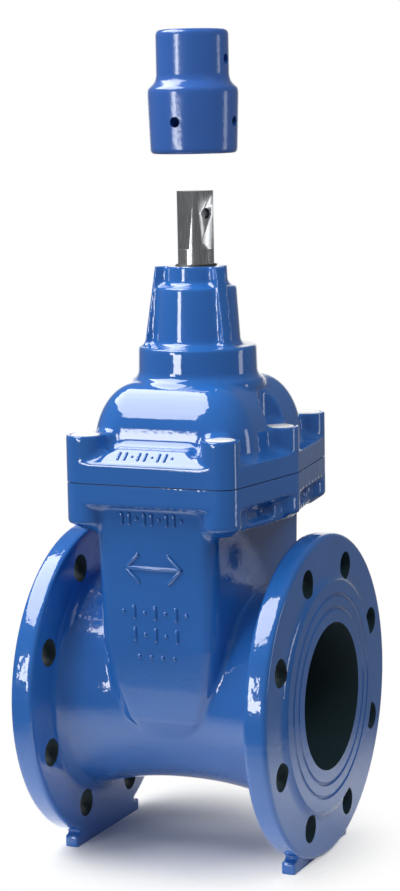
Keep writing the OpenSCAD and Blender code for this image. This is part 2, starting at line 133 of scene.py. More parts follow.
class BodySettings(bpy.types.PropertyGroup):
    bore_r: length("Bore radius", "Radius of the water way", 50 * MM)
    barrel_r: length("Barrel radius", "Outside radius of the barrel at its middle", 64.5 * MM)
    barrel_flare: length("Barrel flare", "Growth of the barrel radius towards a flange", 12 * MM)
    flange_t: length("Flange thickness", "Thickness of the flange rim", 16 * MM)
    raised_r: length("Raised face radius", "Radius of the sealing face", 78 * MM)
    column_h: length("Column height", "Depth of the bolt columns under the joint", 32 * MM)
    foot_half_y: length("Half foot width", "Half the width of a foot", 49 * MM)


class BonnetSettings(bpy.types.PropertyGroup):
    deck_h: length("Rim height", "Height of the bonnet flange over the joint", 14 * MM)
    boss_h: length("Boss height", "Height of the bolt bosses over the joint", 31 * MM)
    dome_top: length("Dome height", "Height of the dome over the joint", 62 * MM)
    dome_shoulder: length("Dome shoulder", "Height of the dome's rounded shoulder", 43 * MM)
    dome_r: length("Dome side radius", "Radius of the dome's corners in plan", 30 * MM)
    collar_r: length("Collar radius", "Radius of the collar", 40.5 * MM)
    collar_h: length("Collar height", "Height of the collar", 22.5 * MM)


class StageSettings(bpy.types.PropertyGroup):
    camera_place: FloatVectorProperty(
        name="Camera place", description="Where the camera stands", subtype="TRANSLATION",
        size=3, default=(0.6454, -1.4096, 0.5002))
    camera_yaw: FloatProperty(
        name="Camera yaw", description="Turn of the camera about Z", subtype="ANGLE",
        default=math.radians(24.59))
    camera_pitch: FloatProperty(
        name="Camera pitch", description="Tilt of the camera over the horizon", subtype="ANGLE",
        default=math.radians(-8.15))
    camera_roll: FloatProperty(
        name="Camera roll", description="Turn of the camera about its view", subtype="ANGLE",
        default=math.radians(-1.07))
    lens: FloatProperty(
        name="Focal length", description="Focal length in millimetres",
        min=10, max=300, default=92.86)
    lamp_power: FloatProperty(
        name="Lamp power", description="Overall power of the studio lamps",
        min=0, max=10, default=1.0)


# Modelling by hand: one function for each kind of step


def deselect():
    if bpy.context.object and bpy.context.object.mode != "OBJECT":
        bpy.ops.object.mode_set(mode="OBJECT")
    bpy.ops.object.select_all(action="DESELECT")


def only(obj):
    deselect()
    obj.select_set(True)
    bpy.context.view_layer.objects.active = obj
    return obj


def settle(obj):
    """Puts the object's place, turn and scale into its mesh."""
    only(obj)
    bpy.ops.object.transform_apply(location=True, rotation=True, scale=True)
    return obj


def named(name):
    obj = bpy.context.object
    obj.name = name
    obj.data.name = name
    return settle(obj)


def block(name, low, high):
    """A box between two corners, given in any order."""
    deselect()
    low, high = Vector(map(min, low, high)), Vector(map(max, low, high))
    bpy.ops.mesh.primitive_cube_add(size=1, location=(low + high) / 2)
    bpy.context.object.scale = high - low
    return named(name)


def post(name, at, r, z0, z1, sides=48):
    """An upright round post."""
    deselect()
    bpy.ops.mesh.primitive_cylinder_add(
        vertices=sides, radius=r, depth=z1 - z0, location=(at[0], at[1], (z0 + z1) / 2))
    return named(name)


def bar(name, start, end, r, sides=48):
    """A round bar from one point to another."""
    deselect()
    start, end = Vector(start), Vector(end)
    way = end - start
    bpy.ops.mesh.primitive_cylinder_add(
        vertices=sides, radius=r, depth=way.length, location=(start + end) / 2,
        rotation=way.to_track_quat("Z", "Y").to_euler())
    return named(name)


def lathe(name, profile, segments=96):
    """A solid of revolution about Z, extruded ring by ring from the bottom (radius, height) up."""
    deselect()
    radius, height = profile[0]
    bpy.ops.mesh.primitive_circle_add(
        vertices=segments, radius=radius, fill_type="NGON", location=(0, 0, height))
    obj = named(name)
    bpy.ops.object.mode_set(mode="EDIT")
    bpy.ops.mesh.select_all(action="SELECT")
    for next_radius, next_height in profile[1:]:
        rise = (0, 0, next_height - height)
        bpy.ops.mesh.extrude_region_move(TRANSFORM_OT_translate={"value": rise})
        scale = next_radius / radius
        bpy.ops.transform.resize(value=(scale, scale, 1), center_override=(0, 0, next_height))
        radius, height = next_radius, next_height
    bpy.ops.mesh.select_all(action="SELECT")
    bpy.ops.mesh.normals_make_consistent(inside=False)
    bpy.ops.object.mode_set(mode="OBJECT")
    return obj


def moved(obj, x, y):
    obj.location = (x, y, 0)
    return settle(obj)


def along_pipe(obj, side=1):
    """Lays a shape drawn along Z on the pipe axis, towards +X or -X."""
    only(obj)
    turn = Matrix.Rotation(side * math.pi / 2, 4, "Y")
    obj.matrix_world = Matrix.Translation((0, 0, AXIS_Z)) @ turn
    return settle(obj)


def join(name, pieces):
    """Makes one object of some pieces, their meshes side by side."""
    deselect()
    for piece in pieces:
        piece.select_set(True)
    bpy.context.view_layer.objects.active = pieces[0]
    bpy.ops.object.join()
    return named(name)


def edited(obj, *steps):
    """Takes each edit-mode step, an operator and its values, on a whole mesh."""
    only(obj)
    bpy.ops.object.mode_set(mode="EDIT")
    for step, values in steps:
        bpy.ops.mesh.select_all(action="SELECT")
        step(**values)
    bpy.ops.object.mode_set(mode="OBJECT")
    return obj


def wrap(name, pieces):
    """The tight convex skin round some shapes."""
    return edited(
        join(name, pieces), (bpy.ops.mesh.convex_hull, {}),
        (bpy.ops.mesh.normals_make_consistent, {"inside": False}))


def shaped(obj, kind, **values):
    """Adds a modifier and applies it."""
    only(obj)
    modifier = obj.modifiers.new(kind.lower(), kind)
    for key, value in values.items():
        setattr(modifier, key, value)
    bpy.ops.object.modifier_apply(modifier=modifier.name)
    return obj


def boolean(obj, operation, others):
    """Unites a piece with closed shapes, or cuts them out of it, and removes them."""
    for other in others:
        shaped(obj, "BOOLEAN", operation=operation, solver="MANIFOLD", object=other)
        bpy.data.objects.remove(other, do_unlink=True)
    return obj


def cut(obj, cutters):
    return boolean(obj, "DIFFERENCE", cutters)


def merged(name, pieces):
    """Unites overlapping closed shapes, so that no wall is left inside."""
    obj = boolean(pieces[0], "UNION", pieces[1:])
    obj.name = obj.data.name = name
    return obj


def fused(obj, voxel, fillet=0.0, smoothing=6):
    """Fuses overlapping shapes into one cast skin, with fillets in its corners and soft edges.

    A skin with fillets ends a little inside its flat faces, where a crisp twin joins it."""
    inset = 0.25 * MM
    shaped(obj, "REMESH", mode="VOXEL", voxel_size=voxel)
    if fillet > 0:
        for move in (fillet, -fillet - inset):
            shaped(obj, "DISPLACE", strength=move, mid_level=0.0, direction="NORMAL")
            shaped(obj, "REMESH", mode="VOXEL", voxel_size=voxel)
    shaped(obj, "SMOOTH", factor=0.5, iterations=smoothing)
    return obj


def twin(obj):
    """A copy of a shape, before it is fused."""
    copy = obj.copy()
    copy.data = obj.data.copy()
    bpy.context.collection.objects.link(copy)
    return copy


def thinned(obj, most):
    """Brings a fused skin under a number of triangles."""
    triangles = sum(len(face.vertices) - 2 for face in obj.data.polygons)
    if triangles > most:
        shaped(obj, "DECIMATE", decimate_type="COLLAPSE", ratio=most / triangles)
    return obj


def finished(obj, material, angle=35):
    """Gives a piece its one material, and smooth shading up to an angle in degrees."""
    only(obj)
    bpy.ops.object.shade_smooth_by_angle(angle=math.radians(angle))
    obj.data.materials.clear()
    obj.data.materials.append(material)
    return obj


def arc(cx, cy, r, start, end, steps=6):
    """Points of an arc about a centre, angles in degrees."""
    angles = [math.radians(start + (end - start) * k / steps) for k in range(steps + 1)]
    return [(cx + r * math.cos(a), cy + r * math.sin(a)) for a in angles]


def round_top(r, z, rise, tip, steps):
    """Points of a rounded top, from its edge at radius r and height z up to a small flat tip."""
    angles = [math.radians(90 * k / steps) for k in range(steps + 1)]
    return [(max(r * math.cos(a), tip), z + rise * math.sin(a)) for a in angles]


def corner_posts(half_x, half_y, r, z0, z1):
    """Four posts in the corners of an upright rectangle with round corners."""
    return [
        post("corner", (sx * (half_x - r), sy * (half_y - r)), r, z0, z1, sides=32)
        for sx in (-1, 1) for sy in (-1, 1)]


# Materials


def new_material(name):
    material = bpy.data.materials.new(name)
    material.use_nodes = True
    nodes = material.node_tree.nodes
    nodes.clear()
    output = nodes.new("ShaderNodeOutputMaterial")
    shader = nodes.new("ShaderNodeBsdfPrincipled")
    material.node_tree.links.new(shader.outputs["BSDF"], output.inputs["Surface"])
    return material, nodes, material.node_tree.links, shader


def node_group(name, inputs, outputs):
    """An empty node group with number sockets. inputs gives each name its default."""
    group = bpy.data.node_groups.new(name, "ShaderNodeTree")
    for label, value in inputs.items():
        item = group.interface.new_socket(
            name=label, in_out="INPUT", socket_type="NodeSocketFloat")
        item.default_value = value
    for label in outputs:
        group.interface.new_socket(name=label, in_out="OUTPUT", socket_type="NodeSocketFloat")
    return group, group.nodes.new("NodeGroupInput"), group.nodes.new("NodeGroupOutput")


def combined(nodes, links, operation, first, second, clamp=False):
    """Two values added or multiplied."""
    step = nodes.new("ShaderNodeMath")
    step.operation = operation
    step.use_clamp = clamp
    links.new(first, step.inputs[0])
    links.new(second, step.inputs[1])
    return step.outputs[0]


def object_noise(nodes, links, scale, detail, rough=0.5, stretch=None):
    """Noise on Object coordinates. scale is a number, or the socket that gives it."""
    place = nodes.new("ShaderNodeTexCoord").outputs["Object"]
    if stretch:
        drawn = nodes.new("ShaderNodeMapping")
        drawn.inputs["Scale"].default_value = stretch
        links.new(place, drawn.inputs["Vector"])
        place = drawn.outputs["Vector"]
    noise = nodes.new("ShaderNodeTexNoise")
    noise.inputs["Detail"].default_value = detail
    noise.inputs["Roughness"].default_value = rough
    if isinstance(scale, float):
        noise.inputs["Scale"].default_value = scale
    else:
        links.new(scale, noise.inputs["Scale"])
    links.new(place, noise.inputs["Vector"])
    return noise.outputs["Fac"]


def cast_skin_group():
    """Height and tone of a coated casting: orange peel, waves of the sand mould, slow shades."""
    if "cast skin" in bpy.data.node_groups:
        return bpy.data.node_groups["cast skin"]
    group, inside, outside = node_group(
        "cast skin",
        {"Peel size": 330.0, "Peel height": 0.5, "Wave size": 28.0, "Wave height": 0.5},
        ("Height", "Tone"))
    nodes, links = group.nodes, group.links
    layers = []
    for layer, detail in (("Peel", 1.0), ("Wave", 2.0)):
        noise = object_noise(nodes, links, inside.outputs[f"{layer} size"], detail, rough=0.45)
        height = inside.outputs[f"{layer} height"]
        layers.append(combined(nodes, links, "MULTIPLY", noise, height))
    links.new(combined(nodes, links, "ADD", *layers), outside.inputs["Height"])
    links.new(object_noise(nodes, links, scale=9.0, detail=3.0), outside.inputs["Tone"])
    return group


def grain_group():
    """Even fine grain of rubber, wax, plastic, plain metal and the dark painted shade in the water
    way.
    """
    if "grain" in bpy.data.node_groups:
        return bpy.data.node_groups["grain"]
    group, inside, outside = node_group("grain", {"Size": 600.0}, ("Grain",))
    noise = object_noise(group.nodes, group.links, inside.outputs["Size"], detail=3.0)
    group.links.new(noise, outside.inputs["Grain"])
    return group


def set_shades(nodes, links, shader, mask, shades, stops=(0.0, 1.0)):
    """Base colour between two shades, by a mask."""
    ramp = nodes.new("ShaderNodeValToRGB")
    for element, stop, shade in zip(ramp.color_ramp.elements, stops, shades):
        element.position = stop
        element.color = (*shade, 1)
    links.new(mask, ramp.inputs["Fac"])
    links.new(ramp.outputs["Color"], shader.inputs["Base Color"])


def set_gloss(nodes, links, shader, mask, low, high):
    """Roughness between two values, by a mask."""
    spread = nodes.new("ShaderNodeMapRange")
    spread.inputs["To Min"].default_value = low
    spread.inputs["To Max"].default_value = high
    links.new(mask, spread.inputs["Value"])
    links.new(spread.outputs["Result"], shader.inputs["Roughness"])


def set_relief(nodes, links, shader, height, strength, distance):
    """Bump on the shader's normal; the bumped normal is given back."""
    bump = nodes.new("ShaderNodeBump")
    bump.inputs["Strength"].default_value = strength
    bump.inputs["Distance"].default_value = distance
    links.new(height, bump.inputs["Height"])
    links.new(bump.outputs["Normal"], shader.inputs["Normal"])
    return bump.outputs["Normal"]


def coated_iron(name, blue, roughness, peel, wave, bump, coat=0.03):
    """Glossy fusion-bonded epoxy on cast iron."""
    material, nodes, links, shader = new_material(name)
    skin = nodes.new("ShaderNodeGroup")
    skin.node_tree = cast_skin_group()
    skin.inputs["Peel height"].default_value = peel
    skin.inputs["Wave height"].default_value = wave
    normal = set_relief(nodes, links, shader, skin.outputs["Height"], bump, distance=0.6 * MM)
    shades = [0.9 * c for c in blue], [min(1, 1.08 * c) for c in blue]
    set_shades(nodes, links, shader, skin.outputs["Tone"], shades, stops=(0.3, 0.7))
    set_gloss(nodes, links, shader, skin.outputs["Tone"], roughness * 0.8, roughness * 1.25)
    shader.inputs["IOR"].default_value = 1.5
    shader.inputs["Coat Weight"].default_value = 1.0
    shader.inputs["Coat Roughness"].default_value = coat
    links.new(normal, shader.inputs["Coat Normal"])
    return material


def brushed_steel(name):
    """Drawn and milled stainless bar: fine lines along its length."""
    material, nodes, links, shader = new_material(name)
    shades = (0.5, 0.52, 0.54), (0.82, 0.83, 0.85)
    lines = object_noise(nodes, links, scale=1.0, detail=3.0, stretch=(2200, 2200, 70))
    set_shades(nodes, links, shader, lines, shades, stops=(0.3, 0.72))
    set_gloss(nodes, links, shader, lines, low=0.14, high=0.28)
    set_relief(nodes, links, shader, lines, strength=0.2, distance=0.04 * MM)
    shader.inputs["Metallic"].default_value = 1.0
    return material


def grained(name, colour, roughness, grain=600.0, bump=0.2, metallic=0.0, spread=0.15):
    """Rubber, wax, plastic, brass or painted shade in the holes: a tinted surface with a fine grain.
    """
    material, nodes, links, shader = new_material(name)
    fine = nodes.new("ShaderNodeGroup")
    fine.node_tree = grain_group()
    fine.inputs["Size"].default_value = grain
    shades = [(1 - spread) * c for c in colour], [min(1, (1 + spread) * c) for c in colour]
    set_shades(nodes, links, shader, fine.outputs["Grain"], shades)
    set_relief(nodes, links, shader, fine.outputs["Grain"], bump, distance=0.2 * MM)
    shader.inputs["Roughness"].default_value = roughness
    shader.inputs["Metallic"].default_value = metallic
    return material


def body_paint(casting):
    return coated_iron(
        "blue_epoxy", casting.blue, roughness=0.1, peel=0.6, wave=0.7, bump=0.28)


def paint_bore_shade():
    """Painted shade: a dark colour inside the water way and the bolt holes, where shade falls."""
    return grained("bore_painted_shade", (0.02, 0.042, 0.052), 0.55, grain=500.0, bump=0.3)


def bonnet_paint(casting):
    return coated_iron(
        "blue_epoxy_bonnet", casting.blue, roughness=0.09, peel=0.35, wave=0.6, bump=0.15)


def cap_paint(casting):
    return coated_iron(
        "cap_paint", casting.cap_blue, roughness=0.2, peel=0.5, wave=0.8, bump=0.25, coat=0.14)


def plug_wax():
    return grained("seal_wax", (0.82, 0.82, 0.8), 0.22, grain=120.0, bump=0.35, spread=0.05)


def small_finishes():
    """Finishes of the small CAD nodes, by the name of their material slot."""
    return {
        "black_rubber": grained(
            "black_rubber", (0.018, 0.018, 0.019), 0.5, grain=700.0, bump=0.25),
        "bolt_steel": grained(
            "bolt_steel", (0.5, 0.5, 0.5), 0.35, grain=900.0, bump=0.15, metallic=1.0),
        "brass": grained("brass", (0.72, 0.5, 0.2), 0.3, grain=800.0, bump=0.15, metallic=1.0),
        "bearing_plastic": grained("bearing_plastic", (0.75, 0.75, 0.72), 0.4)}


# Pieces


def barrel_and_flanges(body):
    """Barrel with a flange at each end, and the sealing faces, proud until they are cut."""
    steps, curve, edge, proud = 10, 2.2, 2.6 * MM, 1 * MM
    inner_x = FLANGE_RIM_X - body.flange_t
    flare = [
        (body.barrel_r + body.barrel_flare * (k / steps) ** curve, inner_x * k / steps)
        for k in range(1, steps + 1)]
    profile = [(body.barrel_r, -proud)] + flare
    profile += arc(FLANGE_R - edge, inner_x + edge, edge, -90, 0, 4)
    profile += arc(FLANGE_R - edge, FLANGE_RIM_X - edge, edge, 0, 90, 4)
    halves = [along_pipe(lathe("half_barrel", profile), side) for side in (-1, 1)]
    faces = [
        bar("sealing_face", (side * inner_x, 0, AXIS_Z),
            (side * (FLANGE_FACE_X + proud), 0, AXIS_Z), body.raised_r, 96)
        for side in (-1, 1)]
    return halves + faces


def neck_levels():
    """Half width along the pipe, half depth and height of the neck, from the joint to its foot."""
    top_x, top_y, rise = 42.95 * MM, 79 * MM, 54 * MM
    return [
        (top_x, top_y, BODY_TOP - 3 * MM),
        (0.99 * top_x, 0.945 * top_y, AXIS_Z + 0.8 * rise),
        (0.885 * top_x, 0.905 * top_y, AXIS_Z + 0.26 * rise),
        (0.72 * top_x, 0.855 * top_y, AXIS_Z - 0.16 * rise),
        (0.48 * top_x, 0.75 * top_y, AXIS_Z - 24 * MM)]


def neck():
    """Neck wrapped over its levels."""
    corner_r, slab = 10 * MM, 1 * MM
    posts = []
    for half_x, half_y, z in neck_levels():
        posts += corner_posts(half_x, half_y, corner_r, z - slab, z)
    return wrap("neck", posts)


def joint_outline(name, r, z0, z1):
    """Flange outline wrapped round the six bolts, its edges softly rounded."""
    obj = wrap(name, [post("corner", bolt, r, z0, z1, sides=64) for bolt in BOLTS])
    return shaped(
        obj, "BEVEL", width=1.5 * MM, segments=3, limit_method="ANGLE",
        angle_limit=math.radians(50))


def bolt_columns(body):
    """A column under each bolt, its underside sloping down to the neck."""
    lean, slope, thinner, overlap = 9, 5 * MM, 3 * MM, 1 * MM
    low, high = JOINT_Z - body.column_h, BODY_TOP - 5 * MM
    columns = []
    for bolt in BOLTS:
        inward = Vector((-bolt.x, -bolt.y, 0)).normalized() * lean * MM
        columns.append(wrap("column", [
            post("outer", bolt, BOSS_R, low + slope, high),
            post("inner", bolt + inward, BOSS_R - thinner, low - overlap, high)]))
    return columns


def side_skirts(body):
    """Thin wall between the columns on each side, with a shallow pocket in each bay."""
    low = JOINT_Z - body.column_h + 1 * MM
    thinner, end_gap = 5 * MM, 15 * MM
    corners = (BOLT_X, BOLT_Y - end_gap), (BOLT_X, -BOLT_Y + end_gap), (MIDDLE_X, 0)
    skirt = wrap("skirt", [
        post("corner", (sx * x, y), BOSS_R - thinner, low, BODY_TOP - 5 * MM)
        for sx in (-1, 1) for x, y in corners])
    out, half_x, half_y, sill, head = 5 * MM, 9 * MM, 15 * MM, 4 * MM, 17 * MM
    pockets = []
    for sx in (-1, 1):
        for sy in (-1, 1):
            x, y = sx * (MIDDLE_X + out), sy * BOLT_Y / 2
            pockets.append(block(
                "pocket", (x - half_x, y - half_y, low + sill),
                (x + half_x, y + half_y, JOINT_Z - head)))
    return cut(skirt, pockets)


def feet(body):
    """Flat foot under each flange, its ends standing out beside the rim."""
    length, height, cut_off = 10 * MM, 8.5 * MM, 1 * MM
    inner_x = FLANGE_RIM_X - body.flange_t
    return [
        block("foot", (side * inner_x, -body.foot_half_y, -cut_off),
              (side * (inner_x + length), body.foot_half_y, height))
        for side in (-1, 1)]


def flange_holes(body):
    """Cutters for the bolt holes of both flanges, from a little behind the rim."""
    behind, past_face = 6 * MM, 0.15
    inner_x = FLANGE_RIM_X - body.flange_t - behind
    holes = []
    for k in range(BOLT_COUNT):
        a = math.radians((k + 0.5) * 360 / BOLT_COUNT)
        y, z = BOLT_CIRCLE_R * math.cos(a), AXIS_Z + BOLT_CIRCLE_R * math.sin(a)
        holes += [
            bar("hole", (side * inner_x, y, z), (side * past_face, y, z), BOLT_HOLE_R, 40)
            for side in (-1, 1)]
    return holes


def face_grooves():
    """Round cutters for the two grooves on each sealing face."""
    wire_r, rings = 1.3 * MM, (59.5 * MM, 68.5 * MM)
    cutters = []
    for side in (-1, 1):
        for r in rings:
            deselect()
            bpy.ops.mesh.primitive_torus_add(
                major_radius=r, minor_radius=wire_r, major_segments=128, minor_segments=12,
                location=(side * FLANGE_FACE_X, 0, AXIS_Z), rotation=(0, math.pi / 2, 0))
            cutters.append(named("groove"))
    return cutters


def wedge_room():
    """Cutters for the space that the wedge rises in, its sloped seat and its guide slots."""
    low, high = AXIS_Z + 54 * MM, BODY_TOP + 1 * MM
    half_x, low_y, high_y, corner_r, slab = 33.45 * MM, 57 * MM, 66 * MM, 14 * MM, 1 * MM
    room = wrap("room", corner_posts(half_x, low_y, corner_r, low - slab, low)
                + corner_posts(half_x, high_y, corner_r, high - slab, high))
    seat_x, seat_y, seat_r, slope = 20.3 * MM, 54.6 * MM, 54.3 * MM, math.tan(math.radians(5))
    seat = block("seat", (-seat_x, -seat_y, AXIS_Z - 5 * MM), (seat_x, seat_y, low))
    round_seat = bar("round_seat", (-seat_x, 0, AXIS_Z), (seat_x, 0, AXIS_Z), seat_r, 96)
    for shape in (seat, round_seat):
        for vertex in shape.data.vertices:
            lift = vertex.co.z - (AXIS_Z - 54 * MM)
            vertex.co.x += math.copysign(lift * slope, vertex.co.x)
    slot_x, slot_y = 7.6 * MM, 61.6 * MM
    guides = block("guides", (-slot_x, -slot_y, AXIS_Z + 5.9 * MM), (slot_x, slot_y, high))
    return [room, seat, round_seat, guides]


def cast_body(body, casting):
    """Unites the body's shapes, fuses them into one cast skin and cuts its faces and holes."""
    flange_depth, cut_off, finer_fillet, finer_step = 14 * MM, 2 * MM, 0.6, 0.9
    pipe = merged("pipe", barrel_and_flanges(body))
    top = [joint_outline("joint_flange", BOSS_R, JOINT_Z - flange_depth, BODY_TOP + cut_off)]
    top += bolt_columns(body) + [side_skirts(body), neck()]
    top = merged("top", top)
    sharp = [twin(pipe), twin(top)]
    fused(pipe, casting.voxel, casting.barrel_fillet, smoothing=2)
    fused(top, casting.voxel, casting.body_fillet, smoothing=1)
    lower = merged("lower", [pipe, top])
    fused(lower, casting.voxel, casting.body_fillet * finer_fillet, smoothing=1)
    obj = merged("body_casting", [lower] + sharp + feet(body))
    fused(obj, casting.voxel * finer_step, smoothing=5)
    thread_r, thread_foot = 6.05 * MM, JOINT_Z - body.column_h + 6 * MM
    cutters = [
        block("level", (-FAR, -FAR, BODY_TOP), (FAR, FAR, BODY_TOP + SLAB)),
        block("floor", (-FAR, -FAR, -SLAB), (FAR, FAR, 0))]
    cutters += [
        block("end", (side * FLANGE_FACE_X, -FAR, -FAR / 2),
              (side * (FLANGE_FACE_X + SLAB), FAR, HIGH))
        for side in (-1, 1)]
    cutters.append(bar("bore", (-FAR, 0, AXIS_Z), (FAR, 0, AXIS_Z), body.bore_r, 96))
    cutters += flange_holes(body) + face_grooves()
    cutters += [post("thread", bolt, thread_r, thread_foot, HIGH, sides=24) for bolt in BOLTS]
    cut(obj, cutters + wedge_room())
    return thinned(obj, most=190000)


def paint_shade_in_holes(obj, body):
    """Paints shade on the walls of the water way and of the flange holes: they get the dark second
    material.
    """
    near_wall, near_face, behind, level = 0.3 * MM, 0.4 * MM, 5 * MM, 0.5
    step = 2 * math.pi / BOLT_COUNT
    for face in obj.data.polygons:
        place = face.center
        if abs(face.normal.x) > level or abs(place.x) > FLANGE_FACE_X - near_face:
            continue
        y, z = place.y, place.z - AXIS_Z
        turn = (math.floor(math.atan2(z, y) / step) + 0.5) * step
        off = math.hypot(y - BOLT_CIRCLE_R * math.cos(turn), z - BOLT_CIRCLE_R * math.sin(turn))
        in_flange = abs(place.x) > FLANGE_RIM_X - body.flange_t - behind
        in_hole = in_flange and off < BOLT_HOLE_R + near_wall
        if in_hole or math.hypot(y, z) < body.bore_r + near_wall:
            face.material_index = 1


def dome(bonnet, shrink=0.0):
    """Dome wrapped over four rounded corner posts."""
    mid = JOINT_Z + bonnet.dome_top - bonnet.dome_shoulder
    r, shoulder = bonnet.dome_r - shrink, bonnet.dome_shoulder - shrink
    core_x, core_y, tip = 27.95 * MM, 36 * MM, 0.5 * MM
    profile = [(r, BONNET_FOOT)] + round_top(r, mid, shoulder, tip, 12)
    return wrap("dome", [
        moved(lathe("corner", profile, 48), sx * core_x, sy * core_y)
        for sx in (-1, 1) for sy in (-1, 1)])


def notches(bonnet):
    """Room for a socket wrench over each bolt, with a rounded top."""
    r, under_boss, tip = 14.5 * MM, 2 * MM, 0.4 * MM
    low = JOINT_Z + bonnet.boss_h - under_boss
    profile = [(r, low)] + round_top(r, low + 2 * r, r, tip, 8)
    return [moved(lathe("notch", profile, 48), bolt.x, bolt.y) for bolt in BOLTS]


def ledges(bonnet):
    """Sloped ledge between the corner bosses, front and back."""
    end_gap, root_x, slope = 8 * MM, 25 * MM, 8.5 * MM
    deck = JOINT_Z + bonnet.deck_h
    return [
        wrap("ledge", [
            block("rim", (-BOLT_X + end_gap, side * (JOINT_Y - 3 * MM), BONNET_FOOT),
                  (BOLT_X - end_gap, side * (JOINT_Y - 1 * MM), deck)),
            block("root", (-root_x, side * (JOINT_Y - 18 * MM), BONNET_FOOT),
                  (root_x, side * (JOINT_Y - 12 * MM), deck + slope))])
        for side in (-1, 1)]


def collar_and_tower(bonnet):
    """Collar over the dome, the tower with its stepped mouth, and the tower's three ribs."""
    dome_top = JOINT_Z + bonnet.dome_top
    collar_top = dome_top + bonnet.collar_h
    collar_r, mouth_h, edge = bonnet.collar_r, 13.5 * MM, 2 * MM
    ledge = TOWER_TOP - mouth_h
    collar = lathe("collar", [
        (collar_r + 5 * MM, dome_top - 5 * MM), (collar_r + 4 * MM, dome_top),
        (collar_r + 1 * MM, dome_top + 2 * MM), (collar_r, dome_top + 5 * MM),
        (collar_r - 0.4 * MM, collar_top - 1 * MM), (collar_r - 1.4 * MM, collar_top)], 128)
    tower = lathe("tower", [
        (29.8 * MM, collar_top - 2 * MM), (27.2 * MM, ledge - edge)]
        + arc(25.2 * MM, ledge - edge, edge, 20, 90, 4)
        + [(22.6 * MM, ledge + 0.3 * MM), (21.3 * MM, ledge + 2.5 * MM),
           (20.9 * MM, TOWER_TOP)], 128)
    root_r, half_y, slab = 18 * MM, 4 * MM, 2 * MM
    ends = (("foot", 36 * MM, collar_top), ("top", 28 * MM, TOWER_TOP))
    ribs = []
    for turn in (-30, 90, 210):
        rib = wrap("rib", [
            block(name, (root_r, -half_y, z - slab), (r, half_y, z)) for name, r, z in ends])
        rib.rotation_euler = (0, 0, math.radians(turn))
        ribs.append(settle(rib))
    return [collar, tower] + ribs


def cast_bonnet(bonnet, casting):
    """Unites the bonnet's shapes, fuses them into one cast skin and cuts its faces and rooms."""
    boss_top, cut_off, tower_fillet = JOINT_Z + bonnet.boss_h, 2 * MM, 2.6 * MM
    lower = [joint_outline("rim", BOSS_R, BONNET_FOOT - cut_off, JOINT_Z + bonnet.deck_h)]
    lower += ledges(bonnet)
    lower += [post("boss", bolt, BOSS_R, BONNET_FOOT, boss_top, sides=64) for bolt in BOLTS]
    lower.append(cut(dome(bonnet), notches(bonnet)))
    obj = merged("lower", lower)
    sharp = twin(obj)
    fused(obj, casting.voxel, casting.bonnet_fillet, smoothing=2)
    upper = merged("upper", collar_and_tower(bonnet))
    crisp = twin(upper)
    obj = merged("lower", [obj, upper])
    fused(obj, casting.voxel * 0.85, tower_fillet, smoothing=1)
    obj = merged("bonnet_casting", [obj, sharp, crisp])
    fused(obj, casting.voxel * 0.7, smoothing=5)
    wall, bolt_wall, plug_gap, recess_depth = 7.5 * MM, 6.5 * MM, 0.2 * MM, 12 * MM
    cutters = [
        block("level", (-FAR, -FAR, BONNET_FOOT - SLAB), (FAR, FAR, BONNET_FOOT)),
        block("top", (-FAR / 2, -FAR / 2, TOWER_TOP), (FAR / 2, FAR / 2, TOWER_TOP + SLAB)),
        post("bush_seat", (0, 0), BUSH_R, HIGH, TOWER_TOP + 0.01, sides=96)]
    cutters += [
        post("recess", bolt, PLUG_R + plug_gap, PLUG_LOW - recess_depth, 2 * FAR) for bolt in BOLTS]
    room = dome(bonnet, wall)
    room.location.z = -1 * MM
    pillars = [
        post("pillar", bolt, BOSS_R + bolt_wall, BONNET_FOOT - cut_off, TOWER_TOP)
        for bolt in BOLTS]
    cutters.append(cut(settle(room), pillars))
    cut(obj, cutters)
    return thinned(obj, most=170000)


def socket_cutter(shape, round_r, turn=0.0):
    """Rounds the edges of a square socket's cutter and turns it about the stem."""
    edited(shape, (bpy.ops.mesh.bevel, {"offset": round_r, "segments": 3, "affect": "EDGES"}))
    shape.rotation_euler = (0, 0, turn)
    return settle(shape)


